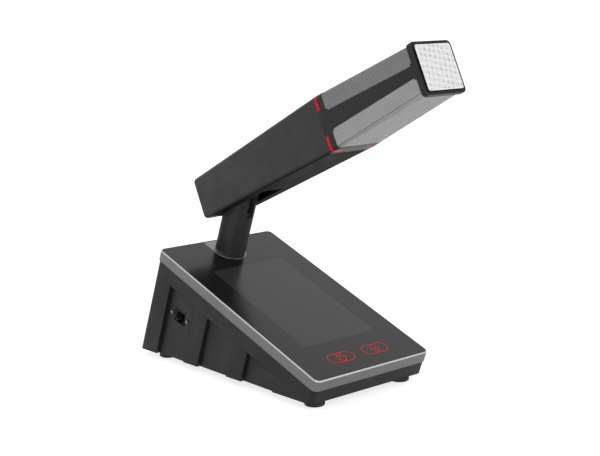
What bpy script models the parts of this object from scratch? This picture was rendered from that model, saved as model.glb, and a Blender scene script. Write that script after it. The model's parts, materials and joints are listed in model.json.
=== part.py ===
"""Conference delegate unit: a sloping touch panel base, a post, and a square microphone head
that tilts on a friction hinge inside the head.

Lengths are in metres. X runs across the unit, -Y is the speaker's side and Z is up. The origin
is on the table, under the middle of the unit's box at rest.
"""
from math import atan2, copysign, cos, hypot, pi, radians, sin, tan

import bmesh
import bpy
from mathutils import Vector

# Fits and working allowances
clearance = 0.0003
overrun = 0.002
screw_play = 0.0003
round_steps = 24
screw_steps = 12
corner_steps = 6
nut_sides = 6
sharp_angle = radians(35.0)

# Base outline: the glass slopes up to the back, and the walls stand square to it
panel_tilt = radians(20.5)
base_width = 0.150
panel_length = 0.258
front_height = 0.0241
corner_radius = 0.006
back_lean = radians(0.3)

# Bezel: an aluminium band round the glass, with a ledge that everything under the glass hangs from
band_height = 0.0115
band_wall = 0.0025
band_lip = 0.0014
band_chamfer = 0.0010
ledge_width = 0.005
ledge_depth = 0.003
glass_thickness = 0.002
glass_recess = 0.0002

# Casing
casing_inset = 0.001
shell_wall = 0.003
lip_height = 0.0015
recess_depth = 0.0039
recess_front_depth = 0.0022
recess_length = 0.0440
recess_period = 0.0661
recess_rear_margin = 0.0286
recess_top = 0.0288
recess_count = 3
boss_width = 0.011
boss_height = 0.014
boss_from_end = 0.046

# Bottom cover, feet and ballast
cover_recess = 0.0008
cover_thickness = 0.0025
foot_height = 0.0063
foot_radius = 0.0098
foot_taper = 0.0008
foot_from_side = 0.0183
foot_from_front = 0.0137
foot_from_rear = 0.0285
case_screw_radius = 0.0015
case_screw_head_radius = 0.0029
case_screw_head = 0.0016
case_screw_length = 0.011
ballast_half_width = 0.050
ballast_front_margin = 0.031
ballast_rear_margin = 0.042
ballast_thickness = 0.006
standoff_height = 0.006
standoff_radius = 0.003
standoff_inset = 0.006
board_thickness = 0.0016
board_margin = 0.002
chip_height = 0.002
chip_width_share = 0.28
chip_place_shares = ((-0.45, -0.30), (0.40, 0.25))

# Screen, keys and the plate that carries them
display_width = 0.099
display_front_gap = 0.0085
display_rear_gap = 0.0045
carrier_thickness = 0.0015
key_length = 0.031
key_width = 0.0144
key_spacing = 0.0447
key_centre = 0.0252
key_board_margin = 0.006
frame_screw_radius = 0.00125
frame_screw_head_radius = 0.0022
frame_screw_head = 0.0013
frame_screw_bite = 0.0022
carrier_screw_place = 0.125

# Network socket on the left side, in the rearmost recess
socket_width = 0.0178
socket_height = 0.0133
socket_depth = 0.021
socket_mouth_width = 0.0142
socket_mouth_height = 0.0086
socket_mouth_depth = 0.014
socket_key_width = 0.0060
socket_key_height = 0.0022
socket_from_rear = 0.0499
socket_drop = 0.0538
socket_turn = radians(8.2)
socket_screw_spacing = 0.027
socket_screw_radius = 0.001
socket_screw_head_radius = 0.0016
socket_screw_head = 0.0009
bracket_thickness = 0.002
bracket_margin = 0.003

# Post: an obround bar that stands on a plate in the notch of the glass
post_from_rear = 0.0252
post_half_width = 0.0123
post_half_length = 0.0179
notch_radius = 0.0187
plate_chamfer = 0.0004
pivot_height = 0.0682
slot_width = 0.008
slot_bottom = 0.0475
cable_bore_radius = 0.004
post_bolt_radius = 0.0024
post_bolt_head_radius = 0.0043
post_bolt_head = 0.003
post_bolt_offset = 0.011
post_bolt_bite = 0.011
post_bracket_thickness = 0.0025
post_bracket_front = 0.026
post_boss_half_width = 0.017

# Hinge
hinge_bolt_radius = 0.003
hinge_head_radius = 0.0052
hinge_head = 0.0032
washer_radius = 0.0062
washer_thickness = 0.0008
nut_radius = 0.0054
nut_thickness = 0.0045
bolt_tail = 0.0008
eye_radius = 0.009
knuckle_forward = 0.0125
knuckle_drop = 0.0122
knuckle_radius = 0.0036
stop_pin_radius = 0.0018
ledge_reach = 0.0145
fold_stop = radians(50.5)
arm_heel = 0.030
arm_reach = 0.060
flange_thickness = 0.003
flange_half_width = 0.0145
flange_web_bite = 0.001
pad_height = 0.004
arm_screw_radius = 0.00125
arm_screw_head_radius = 0.0023
arm_screw_head = 0.0014
arm_screw_side = 0.009
arm_screw_from_tip = 0.014

# Head: three square sections on one axis, rear, junction and front
head_elevation = radians(25.1)
pivot_below_axis = 0.0110
pivot_to_junction = 0.1768
pivot_to_rear = 0.0426
front_length = 0.1292
rear_half_width = 0.0269
rear_rise = 0.0215
rear_drop = 0.0228
junction_half_width = 0.0292
junction_half_height = 0.0278
front_half_width = 0.0259
front_rise = 0.0249
front_drop = 0.0249
head_edge_radius = 0.0045
head_wall = 0.0024

# Underside cover of the rear body
rim_rear = 0.012
rim_front = 0.005
shadow_gap = 0.003
end_gap = 0.0012
underside_thickness = 0.002
underside_recess = 0.0006
post_slot_play = 0.00065
post_slot_front = 0.0485
cover_post_radius = 0.0034
cover_post_rear = 0.070
cover_post_front_margin = 0.018
cover_screw_radius = 0.0012
cover_screw_head_radius = 0.0022
cover_screw_head = 0.0012
cover_screw_length = 0.009

# Light ring at the junction
light_width = 0.0032
light_depth = 0.003
light_leg = 0.015
sleeve_length = 0.008

# Grille section
collar_length = 0.0088
nose_proud = 0.0015
nose_length = 0.005
nose_rim = 0.0029
nose_ledge = 0.0022
nose_plate_gap = 0.0006
nose_plate_thickness = 0.0030
nose_plate_proud = 0.0015
grille_side = 0.0184
mesh_thickness = 0.0010
mesh_recess = 0.0002
rail_recess = 0.0001
window_radius = 0.0045
front_strip = 0.0008
frame_wall = 0.005
seat_length = 0.004

# Inside the head
head_board_front_margin = 0.030
head_board_length = 0.066
head_board_half_width = 0.019
head_boss_height = 0.005
head_boss_radius = 0.0024
channel_half_width = 0.0095
channel_drop = 0.007
channel_rise = 0.0095
mic_board_half_width = 0.008
mic_board_rear = 0.0102
mic_board_front_margin = 0.010
capsule_radius = 0.005
capsule_height = 0.006
capsule_places = (0.030, 0.066, 0.102)

# What follows from them: the base
side_wall = recess_depth + shell_wall
casing_half_width = base_width / 2 - casing_inset
under_glass = glass_recess + glass_thickness + clearance
under_ledge = under_glass + ledge_depth
window_inset = band_wall + ledge_width
front_edge_z = foot_height + front_height
post_place = panel_length - post_from_rear
rear_drop_line = (front_height + panel_length * sin(panel_tilt)) / cos(panel_tilt)
below_ground = rear_drop_line + overrun * 3
display_near = key_centre + key_width / 2 + key_board_margin + display_front_gap
display_far = post_place - post_bracket_front - display_rear_gap

# What follows from them: the ledge in the post that the knuckle lands on when the head is down
knuckle_reach = hypot(knuckle_forward, knuckle_drop)
knuckle_dip = atan2(knuckle_drop, knuckle_forward) + fold_stop - head_elevation - panel_tilt
stop_ledge = pivot_height - knuckle_reach * sin(knuckle_dip) - knuckle_radius

# What follows from them: the head. Its own frame has its origin on the hinge, Y to the rear
rear_y = pivot_to_rear
junction_y = -pivot_to_junction
front_y = junction_y - front_length
shell_front_y = junction_y + light_width / 2 + clearance
mesh_rear_y = junction_y - collar_length - clearance
nose_rear_y = front_y + nose_length
frame_front_y = nose_rear_y + clearance
mesh_front_y = frame_front_y + front_strip + clearance
arm_screw_place = arm_reach - arm_screw_from_tip


def base_point(place, height):
    """World Y and Z, before centring, of a point on the glass at a place from its front edge."""
    y = place * cos(panel_tilt) - height * sin(panel_tilt)
    z = front_edge_z + place * sin(panel_tilt) + height * cos(panel_tilt)
    return y, z


def depth_to_ground(place, ground):
    """How far below the glass, square to it, a level plane lies at a place along the glass."""
    return (front_edge_z + place * sin(panel_tilt) - ground) / cos(panel_tilt)


def foot_line(place, lean):
    """World Y, before centring, where a wall through a place on the glass meets the ground."""
    depth = depth_to_ground(place, foot_height)
    y, _ = base_point(place + (depth - band_height) * tan(lean), -depth)
    return y


front_foot_y = foot_line(casing_inset, 0.0)
rear_foot_y = foot_line(panel_length - casing_inset, back_lean)
pivot_y, pivot_z = base_point(post_place, pivot_height)
nose_low_z = pivot_below_axis - front_drop
nose_reach_y = pivot_y + front_y * cos(head_elevation) + nose_low_z * sin(head_elevation)
centre_y = (rear_foot_y + nose_reach_y) / 2


def head_section(y, inset=0.0):
    """Half width, bottom and top of the head's outside at a place along it, drawn in by an inset."""
    axis = pivot_below_axis
    middle = (junction_half_width, axis - junction_half_height, axis + junction_half_height)
    if y > junction_y:
        end = (rear_half_width, axis - rear_drop, axis + rear_rise)
        share = (y - junction_y) / (rear_y - junction_y)
    else:
        end = (front_half_width - nose_proud, axis - front_drop + nose_proud,
               axis + front_rise - nose_proud)
        share = (junction_y - y) / (junction_y - front_y)
    half, low, high = (a + (b - a) * share for a, b in zip(middle, end))
    return half - inset, low + inset, high - inset


def nose_section(inset):
    """The front rim's section, which stands proud of the mesh behind it."""
    axis = pivot_below_axis
    return front_half_width - inset, axis - front_drop + inset, axis + front_rise - inset


def ramp_depth(along, up=0.0):
    """How deep the rearmost side recess is at a point given from the network socket's middle."""
    place = panel_length - socket_from_rear + along * cos(socket_turn) + up * sin(socket_turn)
    share = (place - panel_length + recess_rear_margin + recess_length) / recess_length
    return recess_front_depth + (recess_depth - recess_front_depth) * share


# Scene, finishes and frames
def clear_scene():
    """Take every object out of the scene."""
    for old in list(bpy.data.objects):
        bpy.data.objects.remove(old, do_unlink=True)


def collection(name):
    """A new collection in the scene."""
    new = bpy.data.collections.new(name)
    bpy.context.scene.collection.children.link(new)
    return new


def finish(name, color, roughness, metallic=0.0):
    """A Principled material."""
    material = bpy.data.materials.new(name)
    material.use_nodes = True
    shader = material.node_tree.nodes["Principled BSDF"]
    shader.inputs["Base Color"].default_value = (*color, 1.0)
    shader.inputs["Roughness"].default_value = roughness
    shader.inputs["Metallic"].default_value = metallic
    material.diffuse_color = (*color, 1.0)
    return material


def frame(name, location, turn):
    """An empty that parts hang from, turned about X."""
    empty = bpy.data.objects.new(name, None)
    empty.location = location
    empty.rotation_euler = (turn, 0.0, 0.0)
    parts.objects.link(empty)
    return empty


clear_scene()
parts = collection("conference_delegate_unit")
cutters = collection("cutters")

black_plastic = finish("black_plastic", (0.012, 0.012, 0.013), 0.50)
dark_metal = finish("dark_metal", (0.045, 0.046, 0.048), 0.42, 0.6)
band_metal = finish("band_metal", (0.30, 0.30, 0.31), 0.35, 0.9)
plate_metal = finish("plate_metal", (0.42, 0.42, 0.43), 0.35, 0.9)
black_glass = finish("black_glass", (0.008, 0.008, 0.009), 0.06)
screen_back = finish("screen_back", (0.20, 0.21, 0.22), 0.40, 0.8)
red_light = finish("red_light", (0.60, 0.012, 0.016), 0.35)
board_green = finish("board_green", (0.010, 0.070, 0.030), 0.50)
steel = finish("steel", (0.45, 0.45, 0.46), 0.30, 1.0)
rubber = finish("rubber", (0.010, 0.010, 0.010), 0.85)
mesh_metal = finish("mesh_metal", (0.28, 0.28, 0.29), 0.45, 0.7)
front_mesh = finish("front_mesh", (0.70, 0.70, 0.71), 0.45, 0.4)
foam = finish("foam", (0.02, 0.02, 0.02), 0.95)
brass = finish("brass", (0.55, 0.38, 0.12), 0.35, 1.0)

front_edge = (0.0, -centre_y, front_edge_z)
hinge_point = (0.0, pivot_y - centre_y, pivot_z)
socket_y, socket_z = base_point(panel_length - socket_from_rear, -socket_drop)
socket_middle = (-casing_half_width, socket_y - centre_y, socket_z)
level = frame("level_frame", (0.0, -centre_y, 0.0), 0.0)
glass_frame = frame("glass_frame", front_edge, panel_tilt)
head_frame = frame("head_frame", hinge_point, -head_elevation)
socket_frame = frame("socket_frame", socket_middle, panel_tilt - socket_turn)


# Modelling helpers
def add(name, mesh, parent, centre, material):
    """Put a mesh into the scene: a part if it has a material, or else a cutter."""
    thing = bpy.data.objects.new(name, mesh)
    thing.parent = parent
    thing.location = centre
    if material:
        mesh.materials.append(material)
        parts.objects.link(thing)
    else:
        cutters.objects.link(thing)
        thing.display_type = "WIRE"
        thing.hide_render = True
    return thing


def to_mesh(name, work):
    """Turn a bmesh into a mesh."""
    mesh = bpy.data.meshes.new(name)
    work.to_mesh(mesh)
    work.free()
    return mesh


def box(name, size, centre, parent, material=None):
    """A box."""
    work = bmesh.new()
    bmesh.ops.create_cube(work, size=1.0)
    bmesh.ops.scale(work, vec=size, verts=work.verts)
    return add(name, to_mesh(name, work), parent, centre, material)


def span(name, low, high, parent, material=None):
    """A box given by its lowest and highest corners."""
    size = [b - a for a, b in zip(low, high)]
    centre = [(a + b) / 2 for a, b in zip(low, high)]
    return box(name, size, centre, parent, material)


def rod(name, radius, length, centre, parent, material=None, axis="Z"):
    """A round bar along the parent's Z or X."""
    work = bmesh.new()
    bmesh.ops.create_cone(work, cap_ends=True, segments=round_steps, radius1=radius,
                          radius2=radius, depth=length)
    mesh = to_mesh(name, work)
    smooth(mesh)
    thing = add(name, mesh, parent, centre, material)
    if axis == "X":
        thing.rotation_euler = (0.0, pi / 2, 0.0)
    return thing


def smooth(mesh):
    """Round faces shaded smooth, corners kept sharp."""
    mesh.shade_smooth()
    mesh.set_sharp_from_angle(angle=sharp_angle)


def prism(name, outline, depth, centre, parent, material=None, across="Z"):
    """A flat outline made solid: points in X and Y along Z, or in Y and Z where it lies across X."""
    curve = bpy.data.curves.new(name, "CURVE")
    curve.dimensions = "2D"
    curve.fill_mode = "BOTH"
    curve.extrude = depth / 2
    spline = curve.splines.new("POLY")
    spline.points.add(len(outline) - 1)
    for point, (a, b) in zip(spline.points, outline):
        point.co = (a, b, 0.0, 1.0)
    spline.use_cyclic_u = True
    drawn = bpy.data.objects.new(name, curve)
    cutters.objects.link(drawn)
    depsgraph = bpy.context.evaluated_depsgraph_get()
    mesh = bpy.data.meshes.new_from_object(drawn.evaluated_get(depsgraph))
    bpy.data.objects.remove(drawn, do_unlink=True)
    work = bmesh.new()
    work.from_mesh(mesh)
    bmesh.ops.remove_doubles(work, verts=work.verts, dist=clearance / 100)
    bmesh.ops.recalc_face_normals(work, faces=work.faces)
    if across == "X":
        for vertex in work.verts:
            a, b, c = vertex.co
            vertex.co = (c, a, b)
    work.to_mesh(mesh)
    work.free()
    mesh.name = name
    smooth(mesh)
    return add(name, mesh, parent, centre, material)


def loft(name, near_y, far_y, shape, parent, material=None, edge_radius=0.0, round_near=False):
    """A square bar along Y whose two end sections come from a function of the place."""
    work = bmesh.new()
    bmesh.ops.create_cube(work, size=1.0)
    long_edges = [edge for edge in work.edges
                  if edge.verts[0].co.y * edge.verts[1].co.y < 0.0]
    near_edges = [edge for edge in work.edges
                  if edge.verts[0].co.y > 0.0 and edge.verts[1].co.y > 0.0]
    for vertex in work.verts:
        y = near_y if vertex.co.y > 0.0 else far_y
        half, low, high = shape(y)
        vertex.co = (copysign(half, vertex.co.x), y, high if vertex.co.z > 0.0 else low)
    if edge_radius > 0.0:
        rounded = long_edges + (near_edges if round_near else [])
        bmesh.ops.bevel(work, geom=rounded, offset=edge_radius, offset_type="OFFSET",
                        segments=corner_steps, profile=0.5, affect="EDGES")
    mesh = to_mesh(name, work)
    smooth(mesh)
    return add(name, mesh, parent, (0.0, 0.0, 0.0), material)


def turned(name, profile, centre, parent, material, turn=(0.0, 0.0, 0.0), steps=screw_steps):
    """A turned piece: a profile of radius and height, from the top to the bottom, spun about Z."""
    mesh = bpy.data.meshes.new(name)
    points = [(radius, 0.0, height) for radius, height in profile]
    mesh.from_pydata(points, [(i, i + 1) for i in range(len(points) - 1)], [])
    thing = add(name, mesh, parent, centre, material)
    thing.rotation_euler = turn
    spin = thing.modifiers.new("spin", "SCREW")
    spin.steps = steps
    spin.render_steps = steps
    spin.use_merge_vertices = True
    spin.merge_threshold = clearance / 100
    return thing


def screw(name, radius, head_radius, head, length, centre, parent, turn=(0.0, 0.0, 0.0)):
    """A screw with a round socket. The origin is under its head, and the shank points down."""
    socket_radius = head_radius / 2
    socket_floor = head / 2
    profile = ((0.0, socket_floor), (socket_radius, socket_floor), (socket_radius, head),
               (head_radius, head), (head_radius, 0.0), (radius, 0.0), (radius, -length),
               (0.0, -length))
    return turned(name, profile, centre, parent, steel, turn)


def boolean(target, tool, operation):
    """One Boolean step on a part."""
    step = target.modifiers.new(tool.name, "BOOLEAN")
    step.operation = operation
    step.solver = "EXACT"
    step.object = tool


def cut(target, *tools):
    """Take the tools' space out of a part."""
    for tool in tools:
        boolean(target, tool, "DIFFERENCE")


def unite(target, *tools):
    """Make the tools' space part of a part."""
    for tool in tools:
        boolean(target, tool, "UNION")


def keep(target, *tools):
    """Keep only what lies inside the tools."""
    for tool in tools:
        boolean(target, tool, "INTERSECT")


def arc(centre, radius, start, stop, steps=corner_steps):
    """Points along an arc, both ends included."""
    turn = (stop - start) / steps
    angles = [start + turn * i for i in range(steps + 1)]
    return [(centre[0] + radius * cos(a), centre[1] + radius * sin(a)) for a in angles]


def rounded(half_a, half_b, radius):
    """The outline of a rectangle with round corners about the origin."""
    a, b = half_a - radius, half_b - radius
    corners = ((a, b, 0.0), (-a, b, pi / 2), (-a, -b, pi), (a, -b, 3 * pi / 2))
    return [p for x, y, start in corners for p in arc((x, y), radius, start, start + pi / 2)]


def obround(half_width, half_length):
    """The outline of a bar with round ends, long in its second direction."""
    reach = half_length - half_width
    far_end = arc((0.0, reach), half_width, 0.0, pi, round_steps // 2)
    near_end = arc((0.0, -reach), half_width, pi, 2 * pi, round_steps // 2)
    return far_end + near_end


def round_corner(before, corner, after, radius):
    """Points of the arc that rounds a corner between two straight sides."""
    corner = Vector(corner)
    back = (Vector(before) - corner).normalized()
    ahead = (Vector(after) - corner).normalized()
    half_angle = back.angle(ahead) / 2
    centre = corner + (back + ahead).normalized() * radius / sin(half_angle)
    reach = radius / tan(half_angle)
    leaving = corner + back * reach - centre
    turn = leaving.angle_signed(corner + ahead * reach - centre)
    start = atan2(leaving.y, leaving.x)
    return arc(centre, radius, start, start - turn)


def notch(radius, reach):
    """A U open along +b: a half circle about the origin and two straight sides."""
    return arc((0.0, 0.0), radius, pi, 2 * pi, round_steps // 2) + [(radius, reach), (-radius, reach)]


def slab(name, half_width, ends, radius, depths, material=None, lean=0.0):
    """A rounded slab between two places along the glass and two depths under it. Its rear wall
    leans back by an angle."""
    start, end = ends
    top, bottom = depths
    outline = rounded(half_width, (end - start) / 2, radius)
    centre = (0.0, (start + end) / 2, -(top + bottom) / 2)
    thing = prism(name, outline, bottom - top, centre, glass_frame, material)
    for vertex in thing.data.vertices:
        if vertex.co.y > 0.0 and vertex.co.z < 0.0:
            vertex.co.y += (bottom - top) * tan(lean)
    return thing


def panel(name, inset, top, bottom, material=None, front=None, rear=None, lean=0.0):
    """A slab with the glass's rounded outline drawn in by an inset, between two depths."""
    start = inset if front is None else front
    end = panel_length - inset if rear is None else rear
    radius = max(corner_radius - inset, overrun)
    return slab(name, base_width / 2 - inset, (start, end), radius, (top, bottom), material, lean)


def inner_panel(name, inset, play, top, bottom, material=None):
    """The casing's inside, drawn in by some play, between two depths."""
    half_width = casing_half_width - side_wall - play
    ends = (inset + play, panel_length - inset - play)
    radius = max(corner_radius - inset, overrun)
    return slab(name, half_width, ends, radius, (top, bottom), material, back_lean)


def chamfer_top(thing, width):
    """Break the edge all round the top of a slab."""
    work = bmesh.new()
    work.from_mesh(thing.data)
    top = max(vertex.co.z for vertex in work.verts)
    rim = [edge for edge in work.edges
           if all(top - vertex.co.z < width for vertex in edge.verts)
           and edge.calc_face_angle(0.0) > sharp_angle]
    bmesh.ops.bevel(work, geom=rim, offset=width, segments=1, affect="EDGES")
    work.to_mesh(thing.data)
    work.free()


# Base
def build_bezel():
    """The aluminium band, with its glass rebate, ledge and skirt, and holes for the frame screws."""
    band = panel("bezel_frame", 0.0, 0.0, band_height, band_metal)
    chamfer_top(band, band_chamfer)
    rebate = panel("glass_rebate", band_lip, -overrun, under_glass)
    window = panel("band_window", window_inset, -overrun, band_height + overrun)
    skirt = panel("band_skirt", band_wall, under_ledge, band_height + overrun)
    cut(band, rebate, window, skirt)
    for x, place, _ in frame_screw_places():
        hole = rod("ledge_hole", frame_screw_radius + screw_play, frame_screw_bite,
                   (x, place, -under_ledge + frame_screw_bite / 2 - clearance), glass_frame)
        cut(band, hole)


def frame_screw_places():
    """Side, place along the glass and deck thickness of each screw that hangs a deck on the ledge."""
    side = base_width / 2 - band_wall - ledge_width / 2
    bracket_place = post_place - post_bracket_front / 2
    return [(sign * side, place, deck) for sign in (-1.0, 1.0)
            for place, deck in ((carrier_screw_place, carrier_thickness),
                                (bracket_place, post_bracket_thickness))]


def build_glass():
    """The glass, with the notch that the post stands in."""
    glass = panel("touch_glass", band_lip + clearance, glass_recess, glass_recess + glass_thickness,
                  black_glass)
    opening = prism("glass_notch", notch(notch_radius, post_from_rear + overrun), glass_thickness * 3,
                    (0.0, post_place, -glass_recess), glass_frame)
    cut(glass, opening)


def build_screen():
    """The display, the key board with its two light guides, and the carrier plate under them."""
    top = under_glass
    bottom = under_ledge
    span("display_module", (-display_width / 2, display_near, -bottom),
         (display_width / 2, display_far, -top), glass_frame, screen_back)
    board_half = (key_spacing + key_length) / 2 + key_board_margin
    board_side = key_width / 2 + key_board_margin
    board_top = bottom - board_thickness
    span("key_board", (-board_half, key_centre - board_side, -bottom),
         (board_half, key_centre + board_side, -board_top), glass_frame, board_green)
    guide_height = board_top - clearance - top
    for name, sign in (("key_light_left", -1.0), ("key_light_right", 1.0)):
        outline = [(a, b) for b, a in obround(key_width / 2, key_length / 2)]
        prism(name, outline[::-1], guide_height,
              (sign * key_spacing / 2, key_centre, -top - guide_height / 2), glass_frame, red_light)
    deck_top = under_ledge + clearance
    deck_end = post_place - post_bracket_front - clearance
    deck = panel("display_carrier", band_wall + clearance, deck_top, deck_top + carrier_thickness,
                 steel, rear=deck_end)
    for x, place, thickness in frame_screw_places():
        if thickness == carrier_thickness:
            cut(deck, rod("carrier_hole", frame_screw_radius + screw_play, thickness * 3,
                          (x, place, -deck_top), glass_frame))


def build_frame_screws():
    """The screws that hold the carrier plate and the post bracket up to the ledge."""
    for number, (x, place, thickness) in enumerate(frame_screw_places(), 1):
        seat = under_ledge + thickness + clearance * 2
        length = thickness + frame_screw_bite - clearance
        screw(f"frame_screw_{number}", frame_screw_radius, frame_screw_head_radius, frame_screw_head,
              length, (x, place, -seat), glass_frame, (pi, 0.0, 0.0))


def build_casing():
    """The casing: walls square to the glass, a lip that enters the bezel, ramped side recesses."""
    top = band_height + clearance
    casing = panel("base_casing", casing_inset, top, below_ground, black_plastic, lean=back_lean)
    lip_top = top - lip_height
    lip = panel("casing_lip", band_wall + clearance, lip_top, top + shell_wall)
    inside = inner_panel("casing_inside", casing_inset + shell_wall, 0.0, lip_top - overrun,
                         below_ground + overrun)
    ground = span("ground", (-base_width, -panel_length, -panel_length),
                  (base_width, panel_length * 2, foot_height), level)
    unite(casing, lip)
    cut(casing, inside, ground)
    for sign in (-1.0, 1.0):
        for number in range(recess_count):
            cut(casing, side_recess(sign, number))
    for sign in (-1.0, 1.0):
        for y in boss_lines():
            unite(casing, screw_boss(sign, y))
            x = sign * boss_x()
            cut(casing, rod("boss_hole", case_screw_radius + screw_play, boss_height,
                            (x, y, cover_top() + boss_height / 2 - overrun), level))
    cut(casing, socket_hole("socket_hole"))
    for along in socket_screw_places():
        cut(casing, rod("socket_screw_hole", socket_screw_radius + screw_play, side_wall * 3,
                        (side_wall, along, 0.0), socket_frame, axis="X"))


def side_recess(sign, number):
    """The body that cuts one recess: deepest at its rear end, with a step at either end."""
    face = casing_half_width
    rear_end = panel_length - recess_rear_margin - recess_period * number
    front_end = rear_end - recess_length
    outline = [(face + overrun, rear_end), (face - recess_depth, rear_end),
               (face - recess_front_depth, front_end), (face + overrun, front_end)]
    outline = [(sign * x, y) for x, y in outline]
    depth = rear_drop_line + overrun - recess_top
    if sign > 0.0:
        outline.reverse()
    return prism("side_recess", outline, depth, (0.0, 0.0, -recess_top - depth / 2), glass_frame)


def cover_top():
    """The height of the bottom cover's upper face above the table."""
    return foot_height + cover_recess + cover_thickness


def boss_lines():
    """World Y, from the front edge, of the two rows of bosses for the bottom cover's screws."""
    return front_foot_y + boss_from_end, rear_foot_y - boss_from_end


def boss_x():
    """How far from the middle the bosses for the bottom cover's screws stand."""
    return casing_half_width - side_wall - boss_width / 2


def screw_boss(sign, y):
    """A boss on the inside of a side wall, over the bottom cover."""
    low = cover_top() + clearance
    inner = casing_half_width - side_wall - boss_width
    outer = casing_half_width - side_wall + shell_wall / 2
    xs = sorted((sign * inner, sign * outer))
    return span("screw_boss", (xs[0], y - boss_width / 2, low),
                (xs[1], y + boss_width / 2, low + boss_height), level)


def socket_hole(name):
    """An opening that the socket stands in, with play all round."""
    size = (side_wall * 3, socket_width + clearance * 2, socket_height + clearance * 2)
    return box(name, size, (side_wall, 0.0, 0.0), socket_frame)


def socket_screw_places():
    """Places along the socket's own level line of the two screws beside it."""
    return -socket_screw_spacing / 2, socket_screw_spacing / 2


def build_socket():
    """The network socket, the bracket that holds it behind the wall, and the bracket's two screws."""
    face = ramp_depth(socket_width / 2, socket_height / 2) + clearance
    body = span("network_socket", (face, -socket_width / 2, -socket_height / 2),
                (face + socket_depth, socket_width / 2, socket_height / 2), socket_frame, dark_metal)
    mouth = box("socket_mouth", (socket_mouth_depth * 2, socket_mouth_width, socket_mouth_height),
                (face, 0.0, 0.0), socket_frame)
    key_drop = socket_mouth_height / 2 + socket_key_height / 2 - clearance
    key = box("socket_key", (socket_mouth_depth * 2 - overrun, socket_key_width,
                             socket_key_height + clearance * 2), (face, 0.0, -key_drop), socket_frame)
    cut(body, mouth, key)
    wall_face = side_wall + clearance
    half = (socket_screw_spacing / 2 + bracket_margin + socket_screw_head_radius,
            socket_height / 2 + bracket_margin)
    plate = span("socket_bracket", (wall_face, -half[0], -half[1]),
                 (wall_face + bracket_thickness, half[0], half[1]), socket_frame, steel)
    cut(plate, socket_hole("bracket_window"))
    names = ("socket_screw_front", "socket_screw_rear")
    for name, along in zip(names, socket_screw_places()):
        seat = ramp_depth(along - socket_screw_head_radius) - clearance
        length = wall_face + bracket_thickness - seat + overrun / 2
        screw(name, socket_screw_radius, socket_screw_head_radius, socket_screw_head, length,
              (seat, along, 0.0), socket_frame, (0.0, -pi / 2, 0.0))
        cut(plate, rod("bracket_hole", socket_screw_radius + screw_play, bracket_thickness * 3,
                       (wall_face, along, 0.0), socket_frame, axis="X"))


def build_bottom():
    """The bottom cover, its four screws, the four feet, the ballast and the main board."""
    inset = casing_inset + shell_wall
    cover = inner_panel("bottom_cover", inset, clearance, band_height, below_ground, black_plastic)
    low = foot_height + cover_recess
    keep(cover, span("cover_layer", (-base_width, -panel_length, low),
                     (base_width, panel_length * 2, cover_top()), level))
    number = 0
    for sign in (-1.0, 1.0):
        for y in boss_lines():
            number += 1
            x = sign * boss_x()
            cut(cover, rod("cover_hole", case_screw_radius + screw_play, cover_thickness * 3,
                           (x, y, low), level))
            cut(cover, rod("cover_head_seat", case_screw_head_radius + screw_play,
                           case_screw_head * 2, (x, y, low), level))
            screw(f"bottom_screw_{number}", case_screw_radius, case_screw_head_radius,
                  case_screw_head, case_screw_length,
                  (x, y, low + case_screw_head - clearance), level, (pi, 0.0, 0.0))
    build_feet(low)
    build_ballast(cover_top() + clearance)


def build_feet(cover_face):
    """Four round rubber feet under the corners, stuck to the bottom cover."""
    height = cover_face - clearance
    profile = ((0.0, height), (foot_radius, height), (foot_radius, foot_taper),
               (foot_radius - foot_taper, 0.0), (0.0, 0.0))
    number = 0
    for sign in (-1.0, 1.0):
        for y in (front_foot_y + foot_from_front, rear_foot_y - foot_from_rear):
            number += 1
            turned(f"foot_{number}", profile, (sign * (base_width / 2 - foot_from_side), y, 0.0),
                   level, rubber, steps=round_steps)


def build_ballast(low):
    """The steel plate that keeps the unit from tipping, with standoffs, and the board on them."""
    near = front_foot_y + ballast_front_margin
    far = rear_foot_y - ballast_rear_margin
    top = low + ballast_thickness
    plate = span("ballast_plate", (-ballast_half_width, near, low),
                 (ballast_half_width, far, top), level, steel)
    for sign in (-1.0, 1.0):
        for y in (near + standoff_inset, far - standoff_inset):
            x = sign * (ballast_half_width - standoff_inset)
            unite(plate, rod("standoff", standoff_radius, standoff_height * 2, (x, y, top), level))
    board_low = top + standoff_height + clearance
    board_top = board_low + board_thickness
    half = ballast_half_width - board_margin
    board = span("main_board", (-half, near + board_margin, board_low),
                 (half, far - board_margin, board_top), level, board_green)
    middle = (near + far) / 2
    chip = half * chip_width_share
    for share_x, share_y in chip_place_shares:
        x, y = share_x * half, middle + share_y * (far - near)
        unite(board, span("chip", (x - chip, y - chip, board_top - board_thickness / 2),
                          (x + chip, y + chip, board_top + chip_height), level))


# Post
def post_bolt_places():
    """Places along the glass of the two bolts up into the post."""
    return post_place - post_bolt_offset, post_place + post_bolt_offset


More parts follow.
